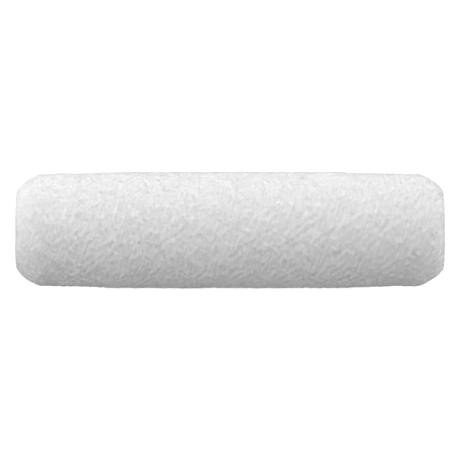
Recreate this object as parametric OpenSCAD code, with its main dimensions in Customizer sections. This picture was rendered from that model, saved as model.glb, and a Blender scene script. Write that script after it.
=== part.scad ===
// Paint roller cover: a pile sleeve on a spiral-wound core, open at both ends.
// The axis lies along X, with the origin on the axis, half way along the core. Millimetres.

/* [Core] */
// Length of the core from end to end
core_length = 228.6; // [100:0.1:460]
// Diameter of the bore that slides over the frame's cage
bore_diameter = 38.1; // [32:0.1:60]
// Thickness of each of the three paper plies
ply_thickness = 0.45; // [0.3:0.05:0.8]
// Thickness of the resin film between two plies
bond_thickness = 0.08; // [0.05:0.01:0.2]
// Distance along the axis that a ply strip advances in one turn
ply_pitch = 96; // [60:1:140]

/* [Fabric] */
// Thickness of the glue layer between the core and the fabric
glue_thickness = 0.25; // [0.1:0.05:0.5]
// Thickness of the woven backing that holds the pile
backing_thickness = 0.9; // [0.5:0.1:1.5]
// Height of the pile above its backing, at the middle of the cover
pile_height = 9.5; // [5:0.1:20]
// Distance along the axis that the fabric strip advances in one turn
fabric_pitch = 88; // [60:1:140]

/* [Pile shape] */
// Length over which each end of the pile is rounded off
bevel_length = 14; // [8:0.5:20]
// How much shorter the pile is beside the rounded end than at the middle
shoulder_drop = 1.9; // [0:0.1:3]
// Length over which the pile rises from the shoulder to its full height
shoulder_length = 53; // [10:1:80]

/* [Seams] */
// Width of the gap where two turns of a wound strip meet, along the axis
seam_gap = 0.4; // [0.2:0.1:1]
// Thickness of the resin that closes the bottom of the seam in the bore
seam_fill = 0.12; // [0.05:0.01:0.2]

/* [Hidden] */

$fn = 96;
overrun = 1;             // how far a cutting shape passes the surface that it cuts
seam_steps = 36;         // flat steps in one turn of a seam
bevel_steps = 14;        // straight steps in the rounded end of the pile
rise_steps = 8;          // straight steps in the rise from the shoulder
ply_1_start = 20;        // angles at which the seams start, a third of a turn apart
ply_2_start = 140;
ply_3_start = 260;
fabric_start = 75;

bore_r = bore_diameter / 2;
ply_1_r = bore_r + ply_thickness;
bond_1_r = ply_1_r + bond_thickness;
ply_2_r = bond_1_r + ply_thickness;
bond_2_r = ply_2_r + bond_thickness;
core_r = bond_2_r + ply_thickness;
glue_r = core_r + glue_thickness;
backing_r = glue_r + backing_thickness;
pile_r = backing_r + pile_height;
shoulder_r = pile_r - shoulder_drop;
half_length = core_length / 2;

// Turns a shape that is built along Z so that it lies along X, centred on the origin.
module along_x() {
    rotate([0, 90, 0]) translate([0, 0, -half_length]) children();
}

// A plain tube of the cover's full length.
module tube(inner_r, outer_r) {
    difference() {
        cylinder(r = outer_r, h = core_length);
        translate([0, 0, -overrun]) cylinder(r = inner_r, h = core_length + 2 * overrun);
    }
}

// The four corners of a seam's cross-section at one angle: near and far radius, low and high side.
function seam_ring(near_r, far_r, pitch, start, angle) =
    let (z = pitch * (angle - start) / 360)
    [for (corner = [[near_r, -1], [far_r, -1], [far_r, 1], [near_r, 1]])
        [corner[0] * cos(angle), corner[0] * sin(angle), z + corner[1] * seam_gap / 2]];

// The gap that a strip's edges leave between one turn and the next, as one left-handed spiral.
module seam(near_r, far_r, pitch, start) {
    step = 360 / seam_steps;
    first = floor((start - 360 * 2 * overrun / pitch) / step);
    last = ceil((start + 360 * (core_length + 2 * overrun) / pitch) / step);
    points = [for (i = [first : last]) each seam_ring(near_r, far_r, pitch, start, i * step)];
    rings = last - first;
    sides = [for (i = [0 : rings - 1], k = [0 : 3])
        let (a = 4 * i + k, b = 4 * i + (k + 1) % 4)
        each [[a, b, b + 4], [a, b + 4, a + 4]]];
    ends = [[3, 2, 1], [3, 1, 0], [4 * rings, 4 * rings + 1, 4 * rings + 2],
        [4 * rings, 4 * rings + 2, 4 * rings + 3]];
    mirror([0, 1, 0]) polyhedron(points = points, faces = concat(sides, ends), convexity = 12);
}

// A strip wound into a tube, whose edges nearly meet in a spiral seam that starts at an angle.
// The seam goes right through the strip, or stops at closed_r where resin has filled its bottom.
module wound_strip(inner_r, outer_r, pitch, start, closed_r = undef) {
    far_r = is_undef(closed_r) ? outer_r + overrun : closed_r;
    along_x() difference() {
        tube(inner_r, outer_r);
        seam(inner_r - overrun, far_r, pitch, start);
    }
}

module core_ply_inner() {
    color("#9c6b3f") wound_strip(bore_r, ply_1_r, ply_pitch, ply_1_start, ply_1_r - seam_fill);
}

module core_bond_inner() {
    color("#5e3a1c") along_x() tube(ply_1_r, bond_1_r);
}

module core_ply_middle() {
    color("#a37447") wound_strip(bond_1_r, ply_2_r, ply_pitch, ply_2_start);
}

module core_bond_outer() {
    color("#5e3a1c") along_x() tube(ply_2_r, bond_2_r);
}

module core_ply_outer() {
    color("#9c6b3f") wound_strip(bond_2_r, core_r, ply_pitch, ply_3_start);
}

module fabric_glue() {
    color("#d9cfa8") along_x() tube(core_r, glue_r);
}

module fabric_backing() {
    color("#e9e8e2") wound_strip(glue_r, backing_r, fabric_pitch, fabric_start);
}

// Outer radius of the rounded end, which is a parabola, at a distance from the end of the core.
function bevel_r(distance) =
    let (short = 1 - distance / bevel_length)
    backing_r + (shoulder_r - backing_r) * (1 - short * short);

// Outer radius of the gentle rise behind the shoulder, for a share from 0 to 1 of its length.
function rise_r(share) = shoulder_r + shoulder_drop * (1 - cos(180 * share)) / 2;

// One half of the pile's outline from the end of the core to the middle, as [radius, distance].
function pile_outline() = concat(
    [[backing_r, 0]],
    [for (i = [1 : bevel_steps])
        let (distance = bevel_length * i / bevel_steps)
        [bevel_r(distance), distance]],
    [for (i = [1 : rise_steps])
        [rise_r(i / rise_steps), bevel_length + shoulder_length * i / rise_steps]]
);

module nap_pile() {
    half = pile_outline();
    mirrored = [for (i = [len(half) - 1 : -1 : 0]) [half[i][0], core_length - half[i][1]]];
    color("#f4f4f2") along_x() rotate_extrude() polygon(concat(half, mirrored));
}

core_ply_inner();
core_bond_inner();
core_ply_middle();
core_bond_outer();
core_ply_outer();
fabric_glue();
fabric_backing();
nap_pile();
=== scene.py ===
"""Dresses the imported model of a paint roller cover: soft white pile on a wound paper core."""
import math

import bpy
import numpy as np
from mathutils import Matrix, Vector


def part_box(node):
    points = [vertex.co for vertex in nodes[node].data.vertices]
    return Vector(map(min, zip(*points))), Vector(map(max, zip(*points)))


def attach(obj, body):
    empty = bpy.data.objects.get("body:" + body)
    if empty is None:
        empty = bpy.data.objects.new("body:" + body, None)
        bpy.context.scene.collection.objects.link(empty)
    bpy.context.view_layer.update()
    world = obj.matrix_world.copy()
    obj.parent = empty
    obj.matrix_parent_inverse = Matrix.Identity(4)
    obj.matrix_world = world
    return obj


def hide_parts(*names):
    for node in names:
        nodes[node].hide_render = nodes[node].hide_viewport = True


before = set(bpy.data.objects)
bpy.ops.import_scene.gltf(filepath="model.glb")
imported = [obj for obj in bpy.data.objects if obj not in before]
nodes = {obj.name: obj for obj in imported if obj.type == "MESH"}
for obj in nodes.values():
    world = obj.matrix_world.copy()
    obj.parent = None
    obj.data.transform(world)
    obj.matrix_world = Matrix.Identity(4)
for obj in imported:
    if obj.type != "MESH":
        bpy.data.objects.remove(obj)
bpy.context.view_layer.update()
MM = 0.001

# ---------------------------------------------------------------- sizes that come from the frame

glue_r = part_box("fabric_glue")[1].z          # the cloth lies on this radius
backing_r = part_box("fabric_backing")[1].z    # the pile stands on this radius
pile_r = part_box("nap_pile")[1].z
half_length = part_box("fabric_backing")[1].x

# ---------------------------------------------------------------- how the strips are wound

PLY_PITCH = 96 * MM             # how far a paper ply advances along the axis in a turn
FABRIC_PITCH = 88 * MM          # how far the fabric advances in a turn
PLY_STARTS = {"core_ply_inner": 20, "core_ply_middle": 140, "core_ply_outer": 260}
FABRIC_START = 75               # angles in degrees at which the seams start

# ---------------------------------------------------------------- pile dimensions

FIBRE_SPACING = 0.44 * MM       # between the fibres' roots
FIBRE_RADIUS = 0.08 * MM
FIBRE_FLATNESS = 0.4            # a fibre's thickness as a share of its width
TAPER = 2.2                     # how late a fibre narrows towards its tip
FIBRE_REACH = 1.5 * MM          # how far a fibre's tip lies from the place above its root
REACH_RANGE = (0.6, 1.3)        # shares of that reach that the fibres have
RIM_SHARE = 0.4                 # and the share that is left at the rims
BEND_PLACE = 0.25               # where a fibre bends over, as a share of its reach
WIDTH_RANGE = (0.7, 1.25)       # shares of the radius that they have
FIBRE_SPREAD = 0.25             # how far the fibres' directions stray from the lie, as a slope
TIP_JITTER = 0.04 * MM          # how unevenly high the tips lie
ROOT_DEPTH = 0.8 * MM           # how far a fibre's root lies under the outline
MAT_DEPTH = 0.35 * MM           # how far the dense inner pile lies under the outline
MAT_GAP = 0.02 * MM             # between that pile and the cloth
LEAN_ANGLE = 16                 # degrees that the pile's lie turns from straight round the cover
SWIRL_ANGLE = 16                # degrees that the lie wanders in wide swirls
SWIRL_LENGTH = 16 * MM
SMALL_SWIRL_ANGLE = 12          # and in narrow ones
SMALL_SWIRL_LENGTH = 6 * MM
END_SHARE = 0.8                 # how far the lie turns outwards at the rims
END_LENGTH = 9 * MM             # length along the axis over which that fades
LOCK_LENGTH = 5 * MM            # length of the locks, which mix fibres that lean up and down
DOWN_SHARE = 0.45               # share of the fibres whose tips point down at the front
DOWN_SPREAD = 0.10              # how much that share differs from lock to lock
STROKE_LENGTH = 1.5 * MM        # length of the soft marks in the pile
STROKE_WIDTH = 2.5 * MM
STROKE_SPOTS = 4                # spots of noise in a row that make one mark
RELIEF = 0.13 * MM              # height of the marks
SMALL_SHARE = 0.4               # height of the finest marks as a share of that
BROAD_SHARE = 0.7               # and height of the broad, shallow ones
MARK_STRENGTH = 2.4             # how much more the marks show in the shading than in the height
EVENNESS = 0.8                  # how far a fibre's shading is turned to the pile's own normal
BANDS = 16                      # pieces that the fibres are split into, along the axis
ROUND_LENGTH = 3.5 * MM         # the pile's rim is rounded off over this length
ROUND_FALL = 0.9 * MM           # and by this much
FULL_START = 8 * MM             # from here inwards the soft pile swells over the CAD outline
FULL_END = 14 * MM              # and from here on by the full share
FULL_SHARE = 0.42               # of what the CAD outline lacks to the cover's largest radius

FLYAWAY_SPACING = 3.2 * MM      # between the fibres that stand out of the pile
FLYAWAY_DEPTH = 0.5 * MM        # how far their roots lie under the outline
FLYAWAY_RADIUS = (0.02, 0.035)  # their smallest and largest radius, in millimetres
FLYAWAY_HEIGHT = (0.2, 1.0)     # and height over the pile
FLYAWAY_REACH = (0.5, 2.5)      # and reach along its lie
FLYAWAY_WANDER = 0.6 * MM       # how far their tips stray from there
FLYAWAY_RISE = 0.9              # where they bend over, as a share of their height
FLYAWAY_STRAY = 0.3             # and how far they have strayed by then

# ---------------------------------------------------------------- cloth dimensions

PRESSED_LENGTH = 2.0 * MM       # length of the cloth's cut edge that is pressed thin
PRESSED_SHARE = 0.75            # share of its thickness that the pressed edge loses
RAGGED = 0.08 * MM              # how unevenly the cloth is cut
RAGGED_LENGTH = 1.5 * MM        # length of the waves in that cut
ROW_PITCH = 0.9 * math.pi * MM  # between the rows of its loops
WAVE_TURN = 20                  # radians that a wave texture turns by in one unit of its scale


def smooth_noise(seed, size, count=28):
    """A random smooth function of a place, whose waves are about size metres long."""
    rng = np.random.default_rng(seed)
    direction = rng.normal(size=(count, 3))
    direction /= np.linalg.norm(direction, axis=1)[:, None]
    length = size * rng.uniform(0.7, 1.8, count)
    waves = direction * (2 * math.pi / length)[:, None]
    phase = rng.uniform(0, 2 * math.pi, count)
    waves, phase = waves.T.astype(np.float32), phase.astype(np.float32)

    def value(points):
        return np.sin(points.astype(np.float32) @ waves + phase).sum(axis=1) * math.sqrt(2 / count)

    return value


def normalized(vectors):
    """Each vector scaled to a length of one."""
    return vectors / np.maximum(np.linalg.norm(vectors, axis=1), 1e-12)[:, None]


def cloth_r(x):
    """Outer radius of the cloth, which is pressed thin at its cut ends."""
    inset = half_length - np.abs(x)
    edge = np.clip(1 - inset / PRESSED_LENGTH, 0, 1) ** 2
    return backing_r - (backing_r - glue_r) * PRESSED_SHARE * edge


def strip_turn(radius, pitch):
    """Length and width of one turn of a strip that is wound at a radius."""
    length = math.hypot(2 * math.pi * radius, pitch)
    return length, pitch * 2 * math.pi * radius / length


class Outline:
    """The pile's outline as a curve with a length: the CAD pile with rounder rims and fuller shoulders."""

    def __init__(self):
        widest = {}
        for vertex in nodes["nap_pile"].data.vertices:
            along = round(vertex.co.x, 5)
            widest[along] = max(widest.get(along, 0.0), math.hypot(vertex.co.y, vertex.co.z))
        cad_x = np.array(sorted(widest))
        cad_r = np.array([widest[along] for along in cad_x])
        self.x = np.linspace(-half_length, half_length, 1200)
        inset = half_length - np.abs(self.x)
        fall = ROUND_FALL * np.clip(1 - inset / ROUND_LENGTH, 0, 1) ** 2
        cad_outline = np.interp(self.x, cad_x, cad_r)
        share = np.clip((inset - FULL_START) / (FULL_END - FULL_START), 0, 1)
        swell = FULL_SHARE * (pile_r - cad_outline) * share ** 2 * (3 - 2 * share)
        self.r = cad_outline + swell - fall
        step = np.hypot(np.diff(self.x), np.diff(self.r))
        self.at = np.concatenate([[0], np.cumsum(step)])
        self.length = self.at[-1]

    def ring(self, s):
        """Place along the axis, radius, and the outward normal's two parts at arc length s."""
        reach = 0.5 * MM
        near = np.clip(s - reach, 0, self.length)
        far = np.clip(s + reach, 0, self.length)
        dx = np.interp(far, self.at, self.x) - np.interp(near, self.at, self.x)
        dr = np.interp(far, self.at, self.r) - np.interp(near, self.at, self.r)
        size = np.hypot(dx, dr)
        return np.interp(s, self.at, self.x), np.interp(s, self.at, self.r), -dr / size, dx / size


outline = Outline()


def on_surface(s, angle):
    """Points on the outline, with their outward normal and the directions round and along."""
    x, r, normal_x, normal_r = outline.ring(s)
    y, z = np.cos(angle), np.sin(angle)
    point = np.stack([x, r * y, r * z], axis=1)
    normal = np.stack([normal_x, normal_r * y, normal_r * z], axis=1)
    around = np.stack([np.zeros_like(y), -z, y], axis=1)
    along = np.cross(around, normal)
    return point, normal, around, along


def scattered(spacing, rng):
    """Arc lengths and angles that are spread evenly over the outline, with some jitter."""
    rows = int(outline.length / spacing)
    s, angle = [], []
    for row in range(rows):
        middle = (row + 0.5) * outline.length / rows
        radius = float(np.interp(middle, outline.at, outline.r))
        count = max(8, int(2 * math.pi * radius / spacing))
        s.append(middle + rng.uniform(-0.5, 0.5, count) * spacing)
        angle.append((np.arange(count) + rng.uniform(-0.5, 0.5, count)) * 2 * math.pi / count)
    return np.clip(np.concatenate(s), 0, outline.length), np.concatenate(angle)


# ---------------------------------------------------------------- mesh helpers


def mesh_object(name, points, faces, material, normals=None):
    """A new object from arrays of points and of faces that all have the same number of corners."""
    mesh = bpy.data.meshes.new(name)
    corners = faces.shape[1]
    mesh.vertices.add(len(points))
    mesh.vertices.foreach_set("co", np.ascontiguousarray(points, np.float32).ravel())
    mesh.loops.add(faces.size)
    mesh.loops.foreach_set("vertex_index", np.ascontiguousarray(faces, np.int32).ravel())
    mesh.polygons.add(len(faces))
    mesh.polygons.foreach_set("loop_start", np.arange(0, faces.size, corners, dtype=np.int32))
    mesh.polygons.foreach_set("use_smooth", np.full(len(faces), True))
    mesh.update(calc_edges=True)
    mesh.validate()
    if normals is not None:
        attribute = mesh.attributes.new("custom_normal", "FLOAT_VECTOR", "CORNER")
        attribute.data.foreach_set("vector", np.ascontiguousarray(normals, np.float32).ravel())
    mesh.materials.append(material)
    piece = bpy.data.objects.new(name, mesh)
    bpy.context.scene.collection.objects.link(piece)
    return piece


def strands(root, control, tip, radius, normal, rings=2, flatness=1.0):
    """Closed tapered strands along the curve from each root to its tip, pulled towards control.

    A strand has two sides that look outwards and an underside. Returns the points, the faces and a
    shading normal for each face corner. Outward sides have theirs turned towards the given normal,
    because light spreads from fibre to fibre in soft pile.
    """
    count = len(root)
    chord = normalized(tip - root)
    side = normalized(np.cross(chord, normal))
    up = np.cross(side, chord)
    points, shades = [], []
    for k in range(rings):
        t = k / rings
        middle = (1 - t) ** 2 * root + 2 * t * (1 - t) * control + t * t * tip
        size = (radius * (1 - t ** TAPER))[:, None]
        for turn in np.radians([90, -30, -150]):
            points.append(middle + size * (side * math.cos(turn) + up * flatness * math.sin(turn)))
            shades.append(side * math.cos(turn) + up * math.sin(turn))
    points.append(tip)
    shades.append(up)
    last = 3 * rings
    faces, under = [], []
    for k in range(rings):
        for j in range(3):
            a, b = 3 * k + j, 3 * k + (j + 1) % 3
            new = [(a, b, b + 3), (a, b + 3, a + 3)] if k < rings - 1 else [(a, b, last)]
            faces += new
            under += [j == 1] * len(new)
    faces.append((0, 2, 1))
    under.append(True)
    outward = np.stack(shades, axis=1) * (1 - EVENNESS) + normal[:, None] * EVENNESS
    shading = np.where(np.array(under)[None, :, None, None], -up[:, None, None], outward[:, faces])
    faces = np.array(faces)[None] + np.arange(count)[:, None, None] * (last + 1)
    points = np.stack(points, axis=1)
    return points.reshape(-1, 3), faces.reshape(-1, 3), normalized(shading.reshape(-1, 3))


def turned_body(name, x, r, inner_r, material, spokes):
    """A closed body round the axis: rings of points (x, r by spoke) outside, a plain hole inside."""
    rings = len(x)
    angle = np.arange(spokes) * 2 * math.pi / spokes
    outside = np.stack([x, r * np.cos(angle), r * np.sin(angle)], axis=-1)
    hole_y, hole_z = inner_r * np.cos(angle), inner_r * np.sin(angle)
    first_hole = np.stack([x[0], hole_y, hole_z], axis=-1)
    last_hole = np.stack([x[-1], hole_y, hole_z], axis=-1)
    points = np.concatenate([first_hole[None], outside, last_hole[None]])
    index = np.arange((rings + 2) * spokes).reshape(rings + 2, spokes)
    index = np.concatenate([index, index[:1]])
    a, b = index[:-1], index[1:]
    faces = np.stack([a, b, np.roll(b, -1, axis=1), np.roll(a, -1, axis=1)], axis=-1)
    return mesh_object(name, points.reshape(-1, 3), faces.reshape(-1, 4), material)


# ---------------------------------------------------------------- materials


def new_material(name):
    """An empty node material and its Principled shader."""
    material = bpy.data.materials.new(name)
    material.use_nodes = True
    return material, material.node_tree, material.node_tree.nodes["Principled BSDF"]


def maths(tree, operation, first, second=None):
    """A maths node on two values, each a socket or a number."""
    node = tree.nodes.new("ShaderNodeMath")
    node.operation = operation
    for socket, value in zip(node.inputs, (first, second)):
        if isinstance(value, (int, float)):
            socket.default_value = value
        elif value is not None:
            tree.links.new(value, socket)
    return node.outputs[0]


def object_place(tree):
    """The place of a point in the shared frame."""
    return tree.nodes.new("ShaderNodeTexCoord").outputs["Object"]


def wound_place(tree, radius, pitch, start):
    """The place in a wound strip: the distance along it, the distance across it, and the radius."""
    parts = tree.nodes.new("ShaderNodeSeparateXYZ")
    tree.links.new(object_place(tree), parts.inputs[0])
    x, y, z = parts.outputs
    turns = maths(tree, "DIVIDE", maths(tree, "ARCTAN2", z, y), 2 * math.pi)
    phase = half_length / pitch + (90 + start) / 360
    strip = maths(tree, "ADD", maths(tree, "ADD", maths(tree, "DIVIDE", x, pitch), turns), phase)
    number = maths(tree, "FLOOR", strip)
    turn_length, width = strip_turn(radius, pitch)
    place = tree.nodes.new("ShaderNodeCombineXYZ")
    lengthwise = maths(tree, "MULTIPLY", maths(tree, "SUBTRACT", number, turns), turn_length)
    crosswise = maths(tree, "MULTIPLY", maths(tree, "SUBTRACT", strip, number), width)
    squares = maths(tree, "ADD", maths(tree, "MULTIPLY", y, y), maths(tree, "MULTIPLY", z, z))
    tree.links.new(lengthwise, place.inputs[0])
    tree.links.new(crosswise, place.inputs[1])
    tree.links.new(maths(tree, "SQRT", squares), place.inputs[2])
    return place.outputs[0]


def noise(tree, place, size, detail=3.0):
    """Noise from 0 to 1 at a place; size is the length of its spots in metres, along each axis."""
    stretch = tree.nodes.new("ShaderNodeVectorMath")
    stretch.operation = "DIVIDE"
    stretch.inputs[1].default_value = size
    texture = tree.nodes.new("ShaderNodeTexNoise")
    texture.inputs["Scale"].default_value = 1.0
    texture.inputs["Detail"].default_value = detail
    tree.links.new(place, stretch.inputs[0])
    tree.links.new(stretch.outputs[0], texture.inputs["Vector"])
    return texture.outputs["Fac"]


def blend_range(tree, value, low, high, start=0.35, end=0.65):
    """Numbers from low to high, or colours between two colours, as a value goes from start to end."""
    if isinstance(low, tuple):
        ramp = tree.nodes.new("ShaderNodeValToRGB")
        for element, position, colour in zip(ramp.color_ramp.elements, (start, end), (low, high)):
            element.position = position
            element.color = (*colour, 1)
        tree.links.new(value, ramp.inputs["Fac"])
        return ramp.outputs["Color"]
    node = tree.nodes.new("ShaderNodeMapRange")
    for socket, number in zip(node.inputs[1:5], (start, end, low, high)):
        socket.default_value = number
    tree.links.new(value, node.inputs["Value"])
    return node.outputs["Result"]


def bump(tree, shader, height, distance):
    """Fine relief in the shading, where a height of 1 stands for a distance in metres."""
    node = tree.nodes.new("ShaderNodeBump")
    node.inputs["Distance"].default_value = distance
    tree.links.new(height, node.inputs["Height"])
    tree.links.new(node.outputs["Normal"], shader.inputs["Normal"])


def fibre_material():
    """White polyester pile: nearly white, matt, with a faint sheen and faint cloudiness."""
    material, tree, shader = new_material("white_polyester_pile")
    cloud = noise(tree, object_place(tree), (6 * MM, 6 * MM, 6 * MM))
    colour = blend_range(tree, cloud, (0.945, 0.945, 0.945), (0.985, 0.985, 0.985))
    tree.links.new(colour, shader.inputs["Base Color"])
    shader.inputs["Roughness"].default_value = 0.75
    shader.inputs["Sheen Weight"].default_value = 0.2
    shader.inputs["Sheen Roughness"].default_value = 0.5
    shader.inputs["Specular IOR Level"].default_value = 0.25
    return material


def cloth_material():
    """Off-white knitted ground cloth: rows of small loops along the wound strip, with painted shade where
    the loops lie low.
    """
    material, tree, shader = new_material("knitted_ground_cloth")
    place = wound_place(tree, backing_r, FABRIC_PITCH, FABRIC_START)
    wave = tree.nodes.new("ShaderNodeTexWave")
    wave.bands_direction = "Y"
    wave.inputs["Scale"].default_value = 2 * math.pi / (WAVE_TURN * ROW_PITCH)
    wave.inputs["Distortion"].default_value = 1.5
    tree.links.new(place, wave.inputs["Vector"])
    loops = noise(tree, place, (0.5 * MM, 0.35 * MM, 0.5 * MM), detail=2.0)
    height = maths(tree, "ADD", wave.outputs["Fac"], loops)
    # The colour follows the loops' height. It is partly the cloth's uneven tone and partly painted shade,
    # darker where the loops lie low between the rows.
    colour = blend_range(tree, height, (0.70, 0.69, 0.66), (0.90, 0.895, 0.88), 0.5, 1.3)
    tree.links.new(colour, shader.inputs["Base Color"])
    tree.links.new(blend_range(tree, loops, 0.75, 0.95), shader.inputs["Roughness"])
    bump(tree, shader, height, 0.12 * MM)
    return material


def kraft_material(name, radius, start):
    """Resin-soaked kraft paper: long fibres along the wound strip, and fine layers on its cut edge."""
    material, tree, shader = new_material(name)
    place = wound_place(tree, radius, PLY_PITCH, start)
    fibres = noise(tree, place, (7 * MM, 0.7 * MM, 0.06 * MM), detail=5.0)
    mottle = noise(tree, place, (14 * MM, 9 * MM, 5 * MM), detail=2.0)
    fine, broad = maths(tree, "MULTIPLY", fibres, 0.7), maths(tree, "MULTIPLY", mottle, 0.3)
    mixed = maths(tree, "ADD", fine, broad)
    colour = blend_range(tree, mixed, (0.235, 0.130, 0.062), (0.430, 0.275, 0.150), 0.36, 0.64)
    tree.links.new(colour, shader.inputs["Base Color"])
    tree.links.new(blend_range(tree, mottle, 0.45, 0.68), shader.inputs["Roughness"])
    bump(tree, shader, fibres, 0.05 * MM)
    return material


def resin_material():
    """Cured phenolic resin between the plies: dark, glossy and a little uneven."""
    material, tree, shader = new_material("cured_phenolic_resin")
    place = object_place(tree)
    drops = noise(tree, place, (0.8 * MM, 0.8 * MM, 0.8 * MM), detail=4.0)
    colour = blend_range(tree, drops, (0.060, 0.028, 0.012), (0.145, 0.072, 0.032))
    tree.links.new(colour, shader.inputs["Base Color"])
    tree.links.new(blend_range(tree, drops, 0.22, 0.42), shader.inputs["Roughness"])
    bump(tree, shader, drops, 0.03 * MM)
    return material


def glue_material():
    """Hot-melt glue that has been pressed through: pale amber, waxy, with small bubbles."""
    material, tree, shader = new_material("hot_melt_glue")
    place = object_place(tree)
    bubbles = noise(tree, place, (0.45 * MM, 0.45 * MM, 0.45 * MM), detail=4.0)
    colour = blend_range(tree, bubbles, (0.52, 0.44, 0.28), (0.74, 0.68, 0.50))
    tree.links.new(colour, shader.inputs["Base Color"])
    tree.links.new(blend_range(tree, bubbles, 0.30, 0.50), shader.inputs["Roughness"])
    bump(tree, shader, bubbles, 0.05 * MM)
    return material


def dress_node(name, material):
    """Gives a CAD node its material in every slot."""
    mesh = nodes[name].data
    for slot in range(len(mesh.materials)):
        mesh.materials[slot] = material


for node_name, seam_start in PLY_STARTS.items():
    ply_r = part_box(node_name)[1].z
    dress_node(node_name, kraft_material(f"kraft_{node_name}", ply_r, seam_start))
resin = resin_material()
dress_node("core_bond_inner", resin)
dress_node("core_bond_outer", resin)
dress_node("fabric_glue", glue_material())

pile_material = fibre_material()


def make_cloth():
    """The knitted ground cloth: a tube whose cut ends are pressed thin and a little uneven."""
    rings, spokes = 240, 192
    even = np.linspace(-1, 1, rings)
    spread = np.sin(even * math.pi / 2) * half_length
    angle = np.arange(spokes) * 2 * math.pi / spokes
    x = np.repeat(spread[:, None], spokes, axis=1)
    ragged = smooth_noise(31, RAGGED_LENGTH)
    for end in (0, -1):
        rim = np.stack([x[end], backing_r * np.cos(angle), backing_r * np.sin(angle)], axis=1)
        x[end] -= np.sign(x[end]) * RAGGED * (1 + ragged(rim))
    r = cloth_r(x)
    piece = turned_body("backing_cloth", x, r, glue_r, cloth_material(), spokes)
    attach(piece, "root")
    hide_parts("fabric_backing")
    return piece


# ---------------------------------------------------------------- how the pile lies

swirls = smooth_noise(11, SWIRL_LENGTH)
small_swirls = smooth_noise(12, SMALL_SWIRL_LENGTH)
tufts = smooth_noise(13, STROKE_WIDTH)
small_tufts = smooth_noise(14, STROKE_WIDTH / 2)
broad_tufts = smooth_noise(15, STROKE_WIDTH * 4)
locks = smooth_noise(16, LOCK_LENGTH)


def lie_direction(points, around, along, way=1):
    """Which way the pile lies at each point: round the cover in swirls, and outwards at its ends.

    At the front of the cover the lie points up, or down where way is -1.
    """
    wander = SWIRL_ANGLE * swirls(points) + SMALL_SWIRL_ANGLE * small_swirls(points)
    turn = np.radians(LEAN_ANGLE + wander)[:, None]
    lie = -way * (np.cos(turn) * around + np.sin(turn) * along)
    inset = half_length - np.abs(points[:, :1])
    outwards = -np.sign(points[:, :1]) * along
    share = END_SHARE * np.exp(-inset / END_LENGTH)
    return normalized(lie * (1 - share) + outwards * share)


def relief(points, lie):
    """Height of the pile's soft marks: spots of noise that are drawn out along its lie."""
    places = np.linspace(-0.5, 0.5, STROKE_SPOTS)
    large = sum(tufts(points + lie * STROKE_LENGTH * place) for place in places)
    small = sum(small_tufts(points + lie * STROKE_LENGTH / 2 * place) for place in places)
    fine = (large + SMALL_SHARE * small) / len(places)
    return RELIEF * (fine + BROAD_SHARE * broad_tufts(points))


def pile_surface(s, angle):
    """Points of the outline with their directions, and the uneven pile's height and normal there."""
    point, normal, around, along = on_surface(s, angle)
    lie = lie_direction(point, around, along)
    reach = 0.25 * MM
    height = relief(point, lie)
    slope_around = (relief(point + around * reach, lie) - height) / reach
    slope_along = (relief(point + along * reach, lie) - height) / reach
    slope = slope_around[:, None] * around + slope_along[:, None] * along
    tilted = normal - MARK_STRENGTH * slope
    return point, normal, around, along, height, normalized(tilted)


def with_radius(points, radius):
    """The points moved in or out to a radius from the axis."""
    now = np.linalg.norm(points[:, 1:], axis=1)
    return np.concatenate([points[:, :1], points[:, 1:] * (radius / now)[:, None]], axis=1)


def laid(points, height):
    """The points moved in or out until they lie on the outline, or a given height over it."""
    return with_radius(points, np.interp(points[:, 0], outline.x, outline.r) + height)


def clear_of_cloth(points, gap):
    """The points moved outwards where they would lie in the cloth."""
    radius = np.linalg.norm(points[:, 1:], axis=1)
    return with_radius(points, np.maximum(radius, cloth_r(points[:, 0]) + gap))


def pile_piece(name, points, faces, shading):
    """A piece of pile that rides the part's body."""
    piece = mesh_object(name, points, faces, pile_material, shading)
    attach(piece, "root")
    return piece


def make_fibres():
    """The fibres that lie on the pile, with their roots in the inner pile, in bands along the axis."""
    rng = np.random.default_rng(22)
    s, angle = scattered(FIBRE_SPACING, rng)
    point, normal, around, along, height, shade = pile_surface(s, angle)
    count = len(s)
    down = rng.uniform(size=count) < DOWN_SHARE + DOWN_SPREAD * locks(point)
    lie = lie_direction(point, around, along, np.where(down, -1, 1)[:, None])
    across = np.cross(normal, lie)
    lie = normalized(lie + across * rng.normal(0, FIBRE_SPREAD, count)[:, None])
    inset = half_length - np.abs(point[:, 0])
    near_rim = np.clip(inset / FIBRE_REACH, RIM_SHARE, 1)
    reach = FIBRE_REACH * rng.uniform(*REACH_RANGE, count) * near_rim
    root = clear_of_cloth(point + normal * (height[:, None] - ROOT_DEPTH), FIBRE_RADIUS)
    tip = laid(point + lie * reach[:, None], height + rng.normal(0, TIP_JITTER, count))
    control = laid(point + lie * reach[:, None] * BEND_PLACE, height - FIBRE_RADIUS)
    radius = FIBRE_RADIUS * rng.uniform(*WIDTH_RANGE, count)
    along_share = (point[:, 0] + half_length) / (2 * half_length)
    band = np.clip((along_share * BANDS).astype(int), 0, BANDS - 1)
    pieces = []
    for number in range(BANDS):
        here = band == number
        shape = strands(
            root[here], control[here], tip[here], radius[here], shade[here], flatness=FIBRE_FLATNESS
        )
        pieces.append(pile_piece(f"nap_fibres_{number + 1:02d}", *shape))
    return pieces


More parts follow.
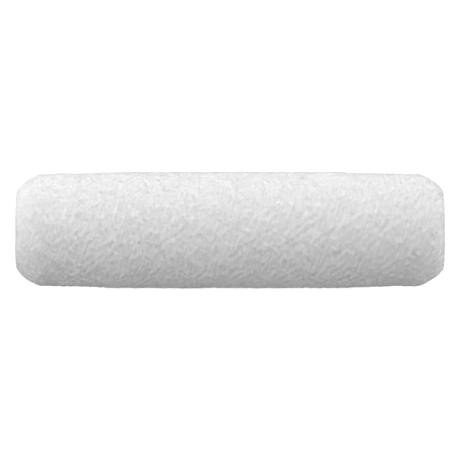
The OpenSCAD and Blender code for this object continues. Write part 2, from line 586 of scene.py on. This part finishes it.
def make_flyaways():
    """A few fine fibres that stand out of the pile."""
    rng = np.random.default_rng(23)
    s, angle = scattered(FLYAWAY_SPACING, rng)
    point, normal, around, along, _, shade = pile_surface(s, angle)
    lie = lie_direction(point, around, along)
    count = len(s)
    height = rng.uniform(*FLYAWAY_HEIGHT, count)[:, None] * MM
    wander = rng.normal(0, FLYAWAY_WANDER, (count, 3))
    root = clear_of_cloth(point - normal * FLYAWAY_DEPTH, FIBRE_RADIUS)
    reach = rng.uniform(*FLYAWAY_REACH, count)[:, None] * MM
    tip = point + normal * height + lie * reach + wander
    control = point + normal * height * FLYAWAY_RISE + wander * FLYAWAY_STRAY
    radius = rng.uniform(*FLYAWAY_RADIUS, count) * MM
    return pile_piece("nap_flyaways", *strands(root, control, tip, radius, shade, rings=4))


def make_mat():
    """The dense inner pile under the fibres, as one closed body with an uneven skin."""
    rings, spokes = 420, 228
    s = np.repeat(np.linspace(0, outline.length, rings), spokes)
    angle = np.tile(np.arange(spokes) * 2 * math.pi / spokes, rings)
    point, normal, around, along = on_surface(s, angle)
    height = relief(point, lie_direction(point, around, along))[:, None]
    point = clear_of_cloth(point + normal * (height - MAT_DEPTH), MAT_GAP)
    x = point[:, 0].reshape(rings, spokes)
    r = np.linalg.norm(point[:, 1:], axis=1).reshape(rings, spokes)
    piece = turned_body("nap_mat", x, r, float(cloth_r(x).min()), pile_material, spokes)
    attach(piece, "root")
    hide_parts("nap_pile")
    return piece


mat = make_mat()
fibres = make_fibres()
flyaways = make_flyaways()
cloth = make_cloth()

# ---------------------------------------------------------------- stage, lights and camera

FLOOR_SIZE = 6.0                # half the floor's width, so that its edge is never seen
FLOOR_GAP = 0.6 * MM            # the floor lies this far under the CAD pile; the lowest tips press in
CAMERA_DISTANCE = 2.2
FRAME_WIDTH = 246.7 * MM        # width of what the picture shows, at the cover's axis
SENSOR_WIDTH = 36               # millimetres
SKY = 0.86                      # radiance of the world's upper half
GROUND = 0.215                  # and of its lower half
HORIZON = -0.08                 # how far down, as a height of direction, one fades to the other
SIDES = 0.80                    # added towards each end of the cover
WHITE = 1.2                     # radiance that the camera sees behind the cover


def make_stage():
    """A white light table. Diffuse rays pass it, so that the world's lower half lights the cover."""
    corners = np.array([[-1, -1], [1, -1], [1, 1], [-1, 1]]) * FLOOR_SIZE
    level = np.full((4, 1), -pile_r - FLOOR_GAP)
    points = np.concatenate([corners, level], axis=1)
    material, _, shader = new_material("pale_floor")
    shader.inputs["Base Color"].default_value = (0.25, 0.25, 0.25, 1)
    shader.inputs["Roughness"].default_value = 0.9
    shader.inputs["Specular IOR Level"].default_value = 0.0
    shader.inputs["Emission Color"].default_value = (1, 1, 1, 1)
    shader.inputs["Emission Strength"].default_value = 0.85
    floor = mesh_object("floor", points, np.array([[0, 1, 2, 3]]), material)
    floor.visible_diffuse = False


def make_world():
    """Studio light from all round, brighter from above and from both ends, on a white backdrop."""
    world = bpy.data.worlds.new("studio")
    bpy.context.scene.world = world
    world.use_nodes = True
    tree = world.node_tree
    background = tree.nodes["Background"]
    place = tree.nodes.new("ShaderNodeTexCoord")
    parts = tree.nodes.new("ShaderNodeSeparateXYZ")
    tree.links.new(place.outputs["Generated"], parts.inputs["Vector"])
    x, _, z = parts.outputs
    sides = maths(tree, "MULTIPLY", maths(tree, "MULTIPLY", x, x), SIDES)
    light = maths(tree, "ADD", blend_range(tree, z, GROUND, SKY, HORIZON, 0.0), sides)
    seen = tree.nodes.new("ShaderNodeLightPath").outputs["Is Camera Ray"]
    strength = maths(tree, "MAXIMUM", light, maths(tree, "MULTIPLY", seen, WHITE))
    tree.links.new(strength, background.inputs["Strength"])
    background.inputs["Color"].default_value = (1, 1, 1, 1)


def make_camera():
    """A camera that looks square-on at the cover's axis, as in the photograph."""
    camera = bpy.data.objects.new("camera", bpy.data.cameras.new("camera"))
    bpy.context.scene.collection.objects.link(camera)
    camera.location = (0, -CAMERA_DISTANCE, 0)
    camera.rotation_euler = (math.pi / 2, 0, 0)
    camera.data.sensor_width = SENSOR_WIDTH
    camera.data.lens = SENSOR_WIDTH * CAMERA_DISTANCE / FRAME_WIDTH
    camera.data.clip_start = 0.05
    camera.data.clip_end = 50
    bpy.context.scene.camera = camera


def make_light(name, place, size, energy):
    """A round lamp that faces the cover."""
    light = bpy.data.objects.new(name, bpy.data.lights.new(name, "AREA"))
    light.data.shape = "DISK"
    light.data.size = size
    light.data.energy = energy
    light.location = place
    light.rotation_euler = (-light.location).to_track_quat("-Z", "Y").to_euler()
    bpy.context.scene.collection.objects.link(light)


make_stage()
make_world()
make_light("overhead", place=(-0.1, -0.3, 1.0), size=1.0, energy=1.2)
make_light("fill_left", place=(-0.40, -0.36, 0.03), size=0.25, energy=0.22)
make_camera()
bpy.context.scene.view_settings.view_transform = "Standard"
bpy.context.scene.cycles.diffuse_bounces = 8
